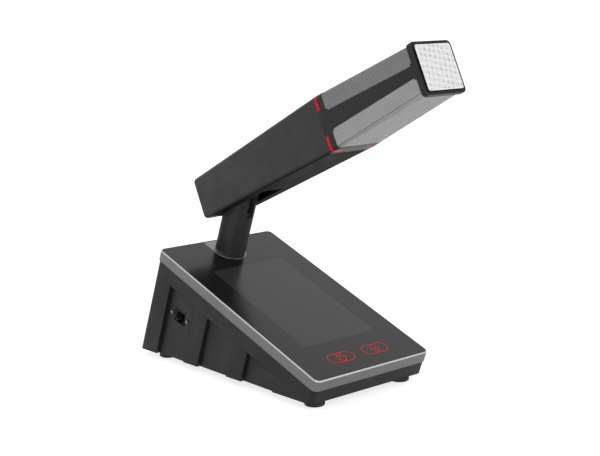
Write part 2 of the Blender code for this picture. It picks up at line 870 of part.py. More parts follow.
def build_post_seat():
    """The plate in the notch, the bracket under it and the two bolts up into the post."""
    reach = post_from_rear - band_lip - clearance
    plate = prism("post_plate", notch(notch_radius - clearance, reach), glass_thickness,
                  (0.0, post_place, -glass_recess - glass_thickness / 2), glass_frame, plate_metal)
    chamfer_top(plate, plate_chamfer)
    deck_top = under_ledge + clearance
    rear = panel_length - window_inset - clearance
    bracket = panel("post_bracket", band_wall + clearance, deck_top,
                    deck_top + post_bracket_thickness, steel, front=post_place - post_bracket_front,
                    rear=rear)
    boss = span("post_boss", (-post_boss_half_width, post_place - notch_radius,
                              -deck_top - post_bracket_thickness / 2),
                (post_boss_half_width, rear - clearance, -under_glass), glass_frame)
    unite(bracket, boss)
    seat = deck_top + post_bracket_thickness + clearance
    for place in post_bolt_places():
        for target in (plate, bracket):
            cut(target, rod("bolt_way", post_bolt_radius + screw_play, seat * 4,
                            (0.0, place, 0.0), glass_frame))
    for target in (plate, bracket):
        cut(target, rod("cable_way", cable_bore_radius, seat * 4, (0.0, post_place, 0.0),
                        glass_frame))
    names = ("post_bolt_front", "post_bolt_rear")
    for name, place in zip(names, post_bolt_places()):
        screw(name, post_bolt_radius, post_bolt_head_radius, post_bolt_head, seat + post_bolt_bite,
              (0.0, place, -seat), glass_frame, (pi, 0.0, 0.0))
    for x, place, thickness in frame_screw_places():
        if thickness == post_bracket_thickness:
            cut(bracket, rod("bracket_screw_hole", frame_screw_radius + screw_play,
                             thickness * 3, (x, place, -deck_top), glass_frame))


def build_post():
    """The post: an obround bar with a round crown, a slot in its front for the hinge arm with the
    ledge that stops it, the hinge bore, the cable bore and the two threaded holes."""
    low = clearance - glass_recess
    high = pivot_height + post_half_length
    post = prism("post", obround(post_half_width, post_half_length), high + overrun - low,
                 (0.0, post_place, (low + high + overrun) / 2), glass_frame, dark_metal)
    crown_reach = pivot_height + overrun
    outline = [(-a, -b) for a, b in notch(post_half_length + clearance, crown_reach)]
    keep(post, prism("post_crown", outline, base_width, (0.0, post_place, pivot_height),
                     glass_frame, across="X"))
    slot_rear = eye_radius + clearance * 2
    slot_front = -post_half_length - overrun
    slot_top = high + overrun * 2
    outline = [(slot_front, slot_bottom), (-ledge_reach, slot_bottom), (-ledge_reach, stop_ledge),
               (slot_rear, stop_ledge), (slot_rear, slot_top), (slot_front, slot_top)]
    cut(post, prism("hinge_slot", outline, slot_width, (0.0, post_place, 0.0), glass_frame,
                    across="X"))
    cut(post, rod("cable_bore", cable_bore_radius, stop_ledge * 2 + overrun * 2,
                  (0.0, post_place, 0.0), glass_frame))
    for place in post_bolt_places():
        cut(post, rod("bolt_thread", post_bolt_radius + screw_play,
                      (post_bolt_bite + overrun) * 2, (0.0, place, 0.0), glass_frame))
    cut(post, rod("hinge_bore", hinge_bolt_radius + screw_play, base_width,
                  (0.0, post_place, pivot_height), glass_frame, axis="X"))


def build_hinge():
    """The hinge bolt through the post's cheeks, a friction washer at each side and the nut."""
    face = post_half_width + clearance
    for name, sign in (("friction_washer_left", -1.0), ("friction_washer_right", 1.0)):
        washer = rod(name, washer_radius, washer_thickness,
                     (sign * (face + washer_thickness / 2), post_place, pivot_height), glass_frame,
                     brass, axis="X")
        cut(washer, rod("washer_bore", hinge_bolt_radius + screw_play, base_width,
                        (0.0, post_place, pivot_height), glass_frame, axis="X"))
    seat = face + washer_thickness + clearance
    length = seat * 2 + nut_thickness + bolt_tail
    screw("hinge_bolt", hinge_bolt_radius, hinge_head_radius, hinge_head, length,
          (-seat, post_place, pivot_height), glass_frame, (0.0, -pi / 2, 0.0))
    last_corner = nut_sides - 1
    outline = arc((0.0, 0.0), nut_radius, 0.0, 2 * pi * last_corner / nut_sides, last_corner)
    nut = prism("hinge_nut", outline, nut_thickness,
                (seat + nut_thickness / 2, post_place, pivot_height), glass_frame, steel, across="X")
    cut(nut, rod("nut_bore", hinge_bolt_radius + screw_play, base_width,
                 (0.0, post_place, pivot_height), glass_frame, axis="X"))


# Head
def ceiling(y):
    """The height of the inside of the head's top at a place along it."""
    return head_section(y, head_wall)[2]


def floor_line(y):
    """The height of the head's outer bottom face at a place along it."""
    return head_section(y)[1]


def cover_half_width(y):
    """Half the width of the underside cover, a shadow gap in from the side walls."""
    return head_section(y, head_wall)[0] - shadow_gap


def cover_inner(y):
    """The height of the underside cover's inner face."""
    return floor_line(y) + underside_recess + underside_thickness


def slot_half_width():
    """Half the width of the slot that the post passes through."""
    return post_half_width + post_slot_play


def build_shell():
    """The rear body: a tapered square tube, closed at the rear, open below for its cover."""
    shell = loft("head_shell", rear_y, shell_front_y, head_section, head_frame, black_plastic,
                 head_edge_radius, round_near=True)
    inside = loft("shell_inside", rear_y - head_wall, shell_front_y - overrun,
                  lambda y: head_section(y, head_wall), head_frame, None,
                  head_edge_radius - head_wall)
    mouth = loft("shell_mouth", rear_y - rim_rear, shell_front_y + rim_front,
                 lambda y: (head_section(y, head_wall)[0], floor_line(y) - overrun,
                            floor_line(y) + head_wall + overrun), head_frame)
    slot = loft("rim_slot", rear_y - head_wall, rear_y - rim_rear - overrun,
                lambda y: (slot_half_width(), floor_line(y) - overrun,
                           floor_line(y) + head_wall + overrun), head_frame)
    cut(shell, inside, mouth, slot)
    pad_near, pad_far = -arm_heel, -arm_reach
    pad = loft("arm_pad", pad_near, pad_far,
               lambda y: (flange_half_width, ceiling(y) - pad_height, ceiling(y) + head_wall / 2),
               head_frame)
    unite(shell, pad)
    for x in (-arm_screw_side, arm_screw_side):
        top = ceiling(-arm_screw_place)
        cut(shell, rod("arm_screw_hole", arm_screw_radius + screw_play, pad_height * 2,
                       (x, -arm_screw_place, top - pad_height), head_frame))
    for y in cover_post_lines():
        low = cover_inner(y) + clearance
        high = ceiling(y) + head_wall / 2
        unite(shell, rod("cover_post", cover_post_radius, high - low, (0.0, y, (low + high) / 2),
                         head_frame))
        cut(shell, rod("cover_post_hole", cover_screw_radius + screw_play, cover_screw_length * 2,
                       (0.0, y, low), head_frame))
    for x, y in head_boss_places():
        top = ceiling(y) + head_wall / 2
        length = head_boss_height + head_wall / 2
        unite(shell, rod("board_boss", head_boss_radius, length, (x, y, top - length / 2),
                         head_frame))


def cover_post_lines():
    """Places along the head of the two posts that the underside cover is screwed to."""
    return -cover_post_rear, junction_y + cover_post_front_margin


def head_board_ends():
    """Rear and front end of the amplifier board under the head's top."""
    far = junction_y + head_board_front_margin
    return far + head_board_length, far


def head_boss_places():
    """The four bosses that carry the amplifier board."""
    near, far = head_board_ends()
    inset = head_boss_radius * 2
    return [(sign * (head_board_half_width - inset), y)
            for sign in (-1.0, 1.0) for y in (near - inset, far + inset)]


def build_underside():
    """The underside cover, with the slot that the post swings in, and its two screws."""
    near = rear_y - rim_rear - end_gap
    far = shell_front_y + rim_front + end_gap
    cover = loft("underside_cover", near, far,
                 lambda y: (cover_half_width(y), floor_line(y) + underside_recess, cover_inner(y)),
                 head_frame, black_plastic)
    slot = loft("cover_slot", near + overrun, -post_slot_front,
                lambda y: (slot_half_width(), floor_line(y) - overrun, cover_inner(y) + overrun),
                head_frame)
    cut(cover, slot)
    names = ("cover_screw_rear", "cover_screw_front")
    for name, y in zip(names, cover_post_lines()):
        face = floor_line(y) + underside_recess
        seat_radius = cover_screw_head_radius + screw_play
        cut(cover, rod("cover_screw_way", cover_screw_radius + screw_play,
                       underside_thickness * 3, (0.0, y, face), head_frame))
        cut(cover, rod("cover_screw_seat", seat_radius, cover_screw_head * 2, (0.0, y, face),
                       head_frame))
        screw(name, cover_screw_radius, cover_screw_head_radius, cover_screw_head,
              cover_screw_length, (0.0, y, face + cover_screw_head - clearance), head_frame,
              (pi, 0.0, 0.0))


def flange_top(y):
    """The height of the arm's flange under its pad."""
    return ceiling(y) - pad_height - clearance


def build_arm():
    """The hinge arm: an eye round the bolt, a knuckle with its stop pin, a web and the flange."""
    width = slot_width - clearance * 2
    eye = rod("hinge_arm", eye_radius, width, (0.0, 0.0, 0.0), head_frame, dark_metal, axis="X")
    web_top_near = flange_top(-arm_heel) - flange_thickness + flange_web_bite
    web_top_far = flange_top(-arm_reach) - flange_thickness + flange_web_bite
    outline = [(0.0, eye_radius - clearance), (-arm_heel, web_top_near),
               (-arm_reach + flange_web_bite, web_top_far),
               (-knuckle_forward - knuckle_radius + clearance, -knuckle_drop),
               (-knuckle_forward, -knuckle_drop - knuckle_radius + clearance),
               (0.0, -eye_radius + clearance)]
    web = prism("arm_web", outline, width - clearance / 10, (0.0, 0.0, 0.0), head_frame, across="X")
    knuckle = rod("arm_knuckle", knuckle_radius, width - clearance / 5,
                  (0.0, -knuckle_forward, -knuckle_drop), head_frame, axis="X")
    flange = loft("arm_flange", -arm_heel - clearance, -arm_reach,
                  lambda y: (flange_half_width, flange_top(y) - flange_thickness, flange_top(y)),
                  head_frame)
    unite(eye, web, knuckle, flange)
    cut(eye, rod("eye_bore", hinge_bolt_radius + screw_play, base_width, (0.0, 0.0, 0.0), head_frame,
                 axis="X"))
    cut(eye, rod("stop_pin_bore", stop_pin_radius + screw_play, base_width,
                 (0.0, -knuckle_forward, -knuckle_drop), head_frame, axis="X"))
    rod("stop_pin", stop_pin_radius, width, (0.0, -knuckle_forward, -knuckle_drop), head_frame,
        steel, axis="X")
    names = ("arm_screw_left", "arm_screw_right")
    for name, x in zip(names, (-arm_screw_side, arm_screw_side)):
        top = flange_top(-arm_screw_place)
        cut(eye, rod("flange_hole", arm_screw_radius + screw_play, flange_thickness * 3,
                     (x, -arm_screw_place, top - flange_thickness / 2), head_frame))
        low = flange_top(-arm_screw_place + arm_screw_head_radius) - flange_thickness
        length = flange_thickness + pad_height - clearance * 2
        screw(name, arm_screw_radius, arm_screw_head_radius, arm_screw_head, length,
              (x, -arm_screw_place, low - clearance * 2), head_frame, (pi, 0.0, 0.0))


def build_head_boards():
    """The amplifier board under the head's top and the ring board behind the lights."""
    near, far = head_board_ends()
    drop = head_boss_height + clearance
    loft("head_board", near, far,
         lambda y: (head_board_half_width, ceiling(y) - drop - board_thickness, ceiling(y) - drop),
         head_frame, board_green)
    ring_front = junction_y + sleeve_length + clearance
    ring = loft("light_board", ring_front + board_thickness, ring_front,
                lambda y: head_section(y, head_wall + clearance), head_frame, board_green,
                head_edge_radius - head_wall)
    cut(ring, loft("light_board_window", ring_front + board_thickness + overrun,
                   ring_front - overrun, lambda y: head_section(y, frame_wall * 2), head_frame))


def corner_block(name, sign_x, sign_z, play, rear_play):
    """The space round one corner of the junction that a light guide takes."""
    half, low, high = head_section(junction_y)
    leg = light_leg + play
    x_ends = sorted((sign_x * (half - leg), sign_x * (half + overrun)))
    z_ends = (high - leg, high + overrun) if sign_z > 0.0 else (low - overrun, low + leg)
    return span(name, (x_ends[0], junction_y - light_width / 2 - play, z_ends[0]),
                (x_ends[1], junction_y + light_width / 2 + rear_play, z_ends[1]), head_frame)


def build_lights():
    """Four light guides, one wrapped round each corner of the junction."""
    for word_z, sign_z in (("top", 1.0), ("bottom", -1.0)):
        for word_x, sign_x in (("left", -1.0), ("right", 1.0)):
            guide = loft(f"light_{word_z}_{word_x}", junction_y + light_width,
                         junction_y - light_width, junction_section, head_frame, red_light,
                         head_edge_radius)
            core = loft("light_core", junction_y + light_width * 2, junction_y - light_width * 2,
                        lambda y: junction_section(y, light_depth), head_frame)
            keep(guide, corner_block("light_corner", sign_x, sign_z, 0.0, 0.0))
            cut(guide, core)


def junction_section(y, inset=0.0):
    """The section at the junction, the same at each place along the head."""
    return head_section(junction_y, inset)


def build_grille_frame():
    """The frame of the grille section: collar, sleeve into the rear body, rails round the mesh
    windows, and the seats that the mesh lies on."""
    collar = loft("grille_frame", junction_y + light_width / 2, junction_y - collar_length,
                  front_section, head_frame, dark_metal, head_edge_radius)
    for sign_z in (1.0, -1.0):
        for sign_x in (-1.0, 1.0):
            cut(collar, corner_block("collar_notch", sign_x, sign_z, clearance, overrun))
    sleeve_inset = light_depth + clearance
    sleeve = loft("sleeve", junction_y + sleeve_length, junction_y - collar_length / 2,
                  lambda y: junction_section(y, sleeve_inset), head_frame, None,
                  max(head_edge_radius - sleeve_inset, clearance))
    seat_inset = mesh_recess + mesh_thickness + clearance
    rear_seat = loft("rear_seat", junction_y - collar_length / 3,
                     junction_y - collar_length - seat_length,
                     lambda y: head_section(y, seat_inset), head_frame, None,
                     head_edge_radius - seat_inset)
    front_seat = loft("front_seat", mesh_front_y + seat_length, frame_front_y + front_strip / 2,
                      lambda y: head_section(y, seat_inset), head_frame, None,
                      head_edge_radius - seat_inset)
    rails = loft("frame_rails", junction_y - collar_length / 4, frame_front_y,
                 lambda y: head_section(y, rail_recess), head_frame, None,
                 head_edge_radius - rail_recess)
    for up in (True, False):
        cut(rails, prism("mesh_window", window_outline(up, 0.0), base_width, (0.0, 0.0, 0.0),
                         head_frame, across="X"))
    unite(collar, sleeve, rear_seat, rails, front_seat)
    cut(collar, loft("sleeve_inside", junction_y + sleeve_length + overrun, junction_y - overrun,
                     lambda y: junction_section(y, frame_wall), head_frame),
        loft("frame_inside", junction_y - overrun / 2, frame_front_y - overrun,
             lambda y: head_section(y, frame_wall), head_frame))


def front_section(y, inset=0.0):
    """The grille section, carried on unchanged behind the junction."""
    return head_section(min(y, junction_y), inset)


def window_outline(up, play):
    """The side view of the upper or the lower mesh window, drawn in by some play. Its corners at
    the rail are round, and its far side lies outside the head."""
    def rail_edge(y):
        _, low, high = head_section(y)
        return high - grille_side + play if up else low + grille_side - play

    def outside(y):
        _, low, high = head_section(y)
        return high + overrun if up else low - overrun

    rear = junction_y - collar_length - play
    front = frame_front_y + front_strip + play
    rear_rail = (rear, rail_edge(rear))
    front_rail = (front, rail_edge(front))
    start = (rear, outside(rear))
    end = (front, outside(front))
    radius = window_radius - play
    return [start, *round_corner(start, rear_rail, front_rail, radius),
            *round_corner(rear_rail, front_rail, end, radius), end]


def build_grilles():
    """The upper and the lower mesh, each bent over three sides."""
    for name, up in (("upper_grille", True), ("lower_grille", False)):
        skin = loft(name, mesh_rear_y + overrun, mesh_front_y - overrun,
                    lambda y: head_section(y, mesh_recess), head_frame, mesh_metal,
                    head_edge_radius - mesh_recess)
        hollow = loft("mesh_hollow", mesh_rear_y + overrun * 2, mesh_front_y - overrun * 2,
                      lambda y: head_section(y, mesh_recess + mesh_thickness), head_frame, None,
                      head_edge_radius - mesh_recess - mesh_thickness)
        cut(skin, hollow)
        keep(skin, prism("mesh_outline", window_outline(up, clearance), base_width, (0.0, 0.0, 0.0),
                         head_frame, across="X"))


def build_nose():
    """The front rim and the mesh plate let into it, which stands a little proud of it."""
    rim = loft("nose_rim", nose_rear_y, front_y, lambda y: nose_section(0.0), head_frame,
               black_plastic, head_edge_radius)
    plate_front = front_y - nose_plate_proud
    plate_rear = plate_front + nose_plate_thickness
    rebate = loft("nose_rebate", plate_rear + clearance, front_y - overrun,
                  lambda y: nose_section(nose_rim), head_frame, None, head_edge_radius / 2)
    way = loft("nose_way", nose_rear_y + overrun, front_y - overrun,
               lambda y: nose_section(nose_rim + nose_ledge), head_frame, None,
               head_edge_radius / 2)
    cut(rim, rebate, way)
    loft("front_grille", plate_rear, plate_front, lambda y: nose_section(nose_rim + nose_plate_gap),
         head_frame, front_mesh, head_edge_radius / 2)


def build_microphone():
    """The foam core, the microphone board in its channel and the capsules on the board."""
    near = junction_y - collar_length - seat_length
    far = mesh_front_y
    core = loft("foam_core", near, far, lambda y: head_section(y, frame_wall + clearance), head_frame,
                foam)
    axis = pivot_below_axis
    channel = loft("board_channel", near + overrun, far - overrun,
                   lambda y: (channel_half_width, axis - channel_drop, axis + channel_rise),
                   head_frame)
    cut(core, channel)
    low = axis - channel_drop + clearance
    board_top = low + board_thickness
    span("mic_board", (-mic_board_half_width, far + mic_board_front_margin, low),
         (mic_board_half_width, junction_y + mic_board_rear, board_top), head_frame, board_green)
    for number, place in enumerate(capsule_places, 1):
        rod(f"mic_capsule_{number}", capsule_radius, capsule_height,
            (0.0, junction_y - place, board_top + clearance + capsule_height / 2), head_frame, brass)


build_bezel()
build_glass()
build_screen()
build_frame_screws()
build_casing()
build_socket()
build_bottom()
build_post_seat()
build_post()
build_hinge()
build_shell()
build_underside()
build_arm()
build_head_boards()
build_lights()
build_grille_frame()
build_grilles()
build_nose()
build_microphone()
bpy.context.view_layer.update()
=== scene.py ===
"""Looks of a conference delegate unit: a sloping glass touch panel, a post and a square
microphone head with metal mesh.

Lengths are in metres, in the frame of the solids. Two tilted frames carry most pieces. On the
panel, s runs back along the glass from its front edge and n stands square to it. In the head, y
runs to the rear and z up, from the hinge.
"""
import json
from math import cos, pi, radians, sin

import bmesh
import bpy
import numpy as np
from mathutils import Matrix, Vector


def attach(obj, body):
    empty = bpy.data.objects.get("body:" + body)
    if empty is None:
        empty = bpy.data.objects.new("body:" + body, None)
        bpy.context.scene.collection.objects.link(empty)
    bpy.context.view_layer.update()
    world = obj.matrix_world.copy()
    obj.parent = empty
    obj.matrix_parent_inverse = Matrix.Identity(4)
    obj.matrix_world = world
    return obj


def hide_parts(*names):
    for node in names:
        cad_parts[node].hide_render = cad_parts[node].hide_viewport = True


# The panel
panel_tilt = radians(20.5)
panel_width = 0.150
panel_length = 0.258
panel_corner = 0.006
post_place = 0.2328
pivot_height = 0.0682
glass_recess = 0.0002
screen_half_width = 0.0463
screen_near = 0.0516
screen_far = 0.2015

# The aluminium band, with a ledge inside it that carries the glass
band_height = 0.0115
band_lip = 0.0014
band_chamfer = 0.0010
band_wall = 0.0025
band_foot_break = 0.0002
ledge_reach = 0.0075
ledge_top = 0.0025
ledge_floor = 0.0055

# The red touch keys
key_spacing = 0.0447
key_centre = 0.0252
key_loop_offset = 0.0056
key_loop_half_length = 0.0099
key_loop_half_width = 0.0072
key_line = 0.0011
key_lift = 0.00004
triangle_lift = 0.0019
triangle_reach = 0.0011
triangle_line = 0.0020
square_reach = 0.0018
square_line = 0.0013

# The head
head_elevation = radians(25.1)
pivot_below_axis = 0.0110
junction_y = -0.1768
front_y = junction_y - 0.1292
junction_half_width = 0.0292
junction_half_height = 0.0278
front_half_width = 0.0244
front_drop = 0.0234
front_rise = 0.0234
edge_radius = 0.0045
collar_length = 0.0088
nose_length = 0.005

# The meshes over and under the head, in windows of its frame
cell_points = 8
window_radius = 0.0042
window_strip = 0.0014
window_gap = 0.0003
corner_slack = 0.25
mesh_side = 0.0181
mesh_recess = 0.0002
mesh_thickness = 0.0006
mesh_pitch = 0.0019
mesh_hole_share = 0.38
fold_hole_growth = 1.35

# The front plate, which stands a little proud of the front rim
plate_half_width = 0.0224
plate_half_height = 0.0214
plate_corner = 0.00225
plate_proud = 0.0015
plate_thickness = 0.0030
plate_pitch = 0.0021
plate_hole_share = 0.13
plate_margin = 0.0017
plate_edge_gap = 0.0002
plate_sink = 0.0001
weave_pitch = 0.0078
weave_turn = radians(33.0)

# Broken edges and shading
merge_distance = 0.000005
flat_angle = radians(0.6)
bevel_angle = radians(40.0)
crease_angle = radians(32.0)
casing_break = 0.0005
plastic_break = 0.0004
metal_break = 0.00025
socket_break = 0.00015

# Nearly all of a noise lies between these two values
noise_low = 0.3
noise_high = 0.7

# The stage
floor_front = -8.0
floor_reach = 4.0
floor_half_width = 9.0
sweep_radius = 3.0
sweep_steps = 24
wall_height = 6.0
floor_glow = 0.76
white = (1.0, 1.0, 1.0, 1.0)
light_target = (0.0, 0.0, 0.15)
key_light_place = (-1.4, -1.9, 1.7)
key_light_size = 1.6
key_light_power = 6.0
fill_place = (0.9, -2.2, 0.9)
fill_size = 1.4
fill_power = 3.0

# The photograph's camera, its place seen from the middle of the panel's front edge
camera_offset = (-0.83708, -0.84299, 0.35088)
camera_azimuth = radians(-41.878)
camera_elevation = radians(9.789)
camera_roll = radians(-0.689)
camera_lens = 77.73
camera_sensor = 36.0
camera_shift = (-0.01637, -0.02117)

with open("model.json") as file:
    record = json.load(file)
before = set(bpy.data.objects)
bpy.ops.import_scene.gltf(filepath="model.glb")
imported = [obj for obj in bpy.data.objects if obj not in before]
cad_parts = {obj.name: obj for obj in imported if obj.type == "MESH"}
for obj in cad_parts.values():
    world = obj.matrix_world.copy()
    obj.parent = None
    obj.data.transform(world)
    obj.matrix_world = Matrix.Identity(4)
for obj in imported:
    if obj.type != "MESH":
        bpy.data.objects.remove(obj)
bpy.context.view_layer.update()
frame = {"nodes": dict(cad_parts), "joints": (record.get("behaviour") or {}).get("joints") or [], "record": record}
nodes = frame["nodes"]
hinge = np.array(frame["joints"][0]["pos_m"])
panel_along = np.array((0.0, cos(panel_tilt), sin(panel_tilt)))
panel_normal = np.array((0.0, -sin(panel_tilt), cos(panel_tilt)))
panel_origin = hinge - panel_along * post_place - panel_normal * pivot_height
head_along = np.array((0.0, cos(head_elevation), -sin(head_elevation)))
head_normal = np.array((0.0, sin(head_elevation), cos(head_elevation)))
across = np.array((1.0, 0.0, 0.0))


# Places
def on_panel(points):
    """World places of points given as x, s and n on the panel: origin + x, s and n times their
    directions."""
    return panel_origin + points @ np.stack((across, panel_along, panel_normal))


def in_head(points):
    """World places of points given as x, y and z in the head: hinge + x, y and z times their
    directions."""
    return hinge + points @ np.stack((across, head_along, head_normal))


# Meshes
def mesh_of(name, points, faces, materials, marks=None):
    """A mesh object from arrays of places and faces, with a material number for each face."""
    mesh = bpy.data.meshes.new(name)
    mesh.from_pydata(points.reshape(-1, 3).tolist(), [], faces.reshape(-1, 4).tolist())
    for material in materials:
        mesh.materials.append(material)
    if marks is not None:
        mesh.polygons.foreach_set("material_index", np.asarray(marks, np.int32))
    thing = bpy.data.objects.new(name, mesh)
    bpy.context.scene.collection.objects.link(thing)
    return thing


def grid_faces(rows, columns, wrap_rows=False, wrap_columns=False):
    """Four-sided faces of a grid whose point (i, j) has number i * columns + j."""
    i = np.arange(rows if wrap_rows else rows - 1)[:, None]
    j = np.arange(columns if wrap_columns else columns - 1)[None, :]
    next_i = (i + 1) % rows
    next_j = (j + 1) % columns
    corners = (i * columns + j, i * columns + next_j, next_i * columns + next_j,
               next_i * columns + j)
    return np.stack(corners, axis=-1).reshape(-1, 4)


def outwards(thing):
    """Turn all faces outwards."""
    work = bmesh.new()
    work.from_mesh(thing.data)
    bmesh.ops.recalc_face_normals(work, faces=work.faces)
    work.to_mesh(thing.data)
    work.free()


def shade(thing, angle=crease_angle):
    """Smooth shading with edges sharper than an angle kept crisp."""
    thing.data.shade_smooth()
    thing.data.set_sharp_from_angle(angle=angle)


def rounded_rectangle(half_a, half_b, radius, steps=10):
    """Places and outward directions round a rectangle with round corners: each corner's centre
    plus its radius times (cos t, sin t), t running a quarter turn a corner."""
    t = np.linspace(0.0, pi / 2, steps)
    turns = np.concatenate([t + k * pi / 2 for k in range(4)])
    signs = np.repeat(np.array(((1, 1), (-1, 1), (-1, -1), (1, -1)), float), steps, axis=0)
    outward = np.stack((np.cos(turns), np.sin(turns)), axis=-1)
    centres = signs * np.array((half_a - radius, half_b - radius))
    return centres + radius * outward, outward


def cell_shape(hole_share):
    """The rim of a square cell of side 1 and its round hole, sampled in the same directions. A
    direction is (cos t, sin t). The rim is the direction over the larger of its two parts,
    halved, and the hole is the direction times the root of the hole's share over pi."""
    turns = np.arange(cell_points) * 2 * pi / cell_points
    way = np.stack((np.cos(turns), np.sin(turns)), axis=-1)
    rim = way / np.abs(way).max(axis=1, keepdims=True) / 2
    return rim, way * np.sqrt(hole_share / pi)


def cell_faces(count):
    """Faces of cells whose points are the rim and the hole on the outer skin, then both on the
    inner one: a ring of faces from the rim to the hole, and a wall through the hole."""
    rim = np.arange(cell_points)
    after = (rim + 1) % cell_points
    hole = cell_points
    inner_hole = 3 * cell_points
    ring = np.stack((rim, after, after + hole, rim + hole), axis=-1)
    wall = np.stack((rim + hole, after + hole, after + inner_hole, rim + inner_hole), axis=-1)
    first_points = np.arange(count) * 4 * cell_points
    return first_points[:, None, None] + np.concatenate((ring, wall))


# Materials
def grey(value):
    """A neutral colour."""
    return (value, value, value)


def scaled(color, factor):
    """A colour times a factor."""
    return tuple(channel * factor for channel in color)


class Paint:
    """A material and short ways to add nodes to it."""

    def __init__(self, name, color, roughness, metallic=0.0, specular=0.5):
        self.material = bpy.data.materials.new(name)
        self.material.use_nodes = True
        self.material.diffuse_color = (*color, 1.0)
        self.tree = self.material.node_tree
        self.shader = self.tree.nodes["Principled BSDF"]
        self.shader.inputs["Base Color"].default_value = (*color, 1.0)
        self.shader.inputs["Roughness"].default_value = roughness
        self.shader.inputs["Metallic"].default_value = metallic
        self.shader.inputs["Specular IOR Level"].default_value = specular
        self.place = self.tree.nodes.new("ShaderNodeTexCoord").outputs["Object"]

    def link(self, source, target):
        """Join an output to an input."""
        self.tree.links.new(source, target)

    def turned(self, turn, stretch=(1.0, 1.0, 1.0), origin=(0.0, 0.0, 0.0)):
        """Object places seen from an origin, turned and then stretched."""
        mapping = self.tree.nodes.new("ShaderNodeMapping")
        mapping.vector_type = "TEXTURE"
        mapping.inputs["Location"].default_value = origin
        mapping.inputs["Rotation"].default_value = turn
        mapping.inputs["Scale"].default_value = [1.0 / value for value in stretch]
        self.link(self.place, mapping.inputs["Vector"])
        return mapping.outputs["Vector"]

    def parts(self, place):
        """The x, y and z of a place, as sockets."""
        node = self.tree.nodes.new("ShaderNodeSeparateXYZ")
        self.link(place, node.inputs["Vector"])
        return node.outputs

    def noise(self, scale, detail=3.0, place=None):
        """A soft random value from 0 to 1."""
        node = self.tree.nodes.new("ShaderNodeTexNoise")
        node.inputs["Scale"].default_value = scale
        node.inputs["Detail"].default_value = detail
        self.link(place or self.place, node.inputs["Vector"])
        return node.outputs["Fac"]

    def span(self, value, low, high, start, stop):
        """A value carried from one range to another, held at its ends."""
        node = self.tree.nodes.new("ShaderNodeMapRange")
        for name, number in zip(("From Min", "From Max", "To Min", "To Max"),
                                (low, high, start, stop)):
            node.inputs[name].default_value = number
        self.link(value, node.inputs["Value"])
        return node.outputs["Result"]

    def math(self, operation, first, second=None):
        """One sum on two values or sockets."""
        node = self.tree.nodes.new("ShaderNodeMath")
        node.operation = operation
        for socket, value in zip(node.inputs, (first, second)):
            if isinstance(value, (int, float)):
                socket.default_value = value
            elif value is not None:
                self.link(value, socket)
        return node.outputs["Value"]

    def blend(self, share, first, second):
        """A colour between two colours or sockets. A colour mix takes its share at input 0 and
        its colours at 6 and 7, and gives its result at output 2."""
        node = self.tree.nodes.new("ShaderNodeMix")
        node.data_type = "RGBA"
        self.link(share, node.inputs[0])
        for socket, value in zip((node.inputs[6], node.inputs[7]), (first, second)):
            if isinstance(value, tuple):
                socket.default_value = (*value, 1.0)
            else:
                self.link(value, socket)
        return node.outputs[2]

    def color(self, value):
        """Set the base colour from a socket."""
        self.link(value, self.shader.inputs["Base Color"])

    def cloudy(self, value, color, low, high):
        """Let a value carry the base colour between two factors of a colour."""
        self.color(self.blend(value, scaled(color, low), scaled(color, high)))

    def roughness(self, value, start, stop):
        """Set the roughness to run from start to stop over a noise's range."""
        result = self.span(value, noise_low, noise_high, start, stop)
        self.link(result, self.shader.inputs["Roughness"])

    def glow(self, color, strength):
        """Set the light that the surface gives off."""
        self.shader.inputs["Emission Color"].default_value = color
        self.shader.inputs["Emission Strength"].default_value = strength

    def bump(self, value, height):
        """Raise the surface by a value times a height in metres."""
        node = self.tree.nodes.new("ShaderNodeBump")
        node.inputs["Strength"].default_value = 1.0
        node.inputs["Distance"].default_value = height
        self.link(value, node.inputs["Height"])
        self.link(node.outputs["Normal"], self.shader.inputs["Normal"])


def moulded(name, color, roughness, specular=0.25):
    """Moulded plastic: fine grain in the relief, faint cloudiness in colour and gloss."""
    paint = Paint(name, color, roughness, specular=specular)
    paint.cloudy(paint.noise(18.0, 4.0), color, 0.94, 1.06)
    grain = paint.noise(1700.0, 2.0)
    paint.roughness(paint.noise(60.0), roughness - 0.06, roughness + 0.06)
    paint.bump(grain, 0.00002)
    return paint.material


def anodised(name, color, roughness, metallic, turn=0.0, specular=0.3):
    """Anodised metal: fine lines along the piece and a faint stain."""
    paint = Paint(name, color, roughness, metallic, specular)
    lines = paint.noise(900.0, 2.0, paint.turned((turn, 0.0, 0.0), (1.0, 0.02, 1.0)))
    paint.cloudy(paint.noise(25.0, 4.0), color, 0.92, 1.08)
    paint.roughness(lines, roughness - 0.05, roughness + 0.07)
    paint.bump(lines, 0.000006)
    return paint.material


def drawn_bar(name, color, roughness):
    """A drawn and blackened bar: gloss streaks up the post, lighter in colour as painted reflections."""
    paint = Paint(name, color, roughness, specular=0.06)
    along_bar = paint.turned((panel_tilt, 0.0, 0.0), (1.0, 1.0, 0.012))
    gloss_and_reflection_streaks = paint.noise(75.0, 2.0, along_bar)
    fine = paint.noise(1500.0, 2.0, along_bar)
    # Painted reflection: the colour grows lighter along the streaks, and the gloss varies along them.
    paint.cloudy(paint.span(gloss_and_reflection_streaks, 0.38, 0.66, 0.0, 1.0), color, 0.85, 1.45)
    paint.roughness(gloss_and_reflection_streaks, roughness + 0.06, roughness - 0.06)
    paint.bump(fine, 0.000005)
    return paint.material


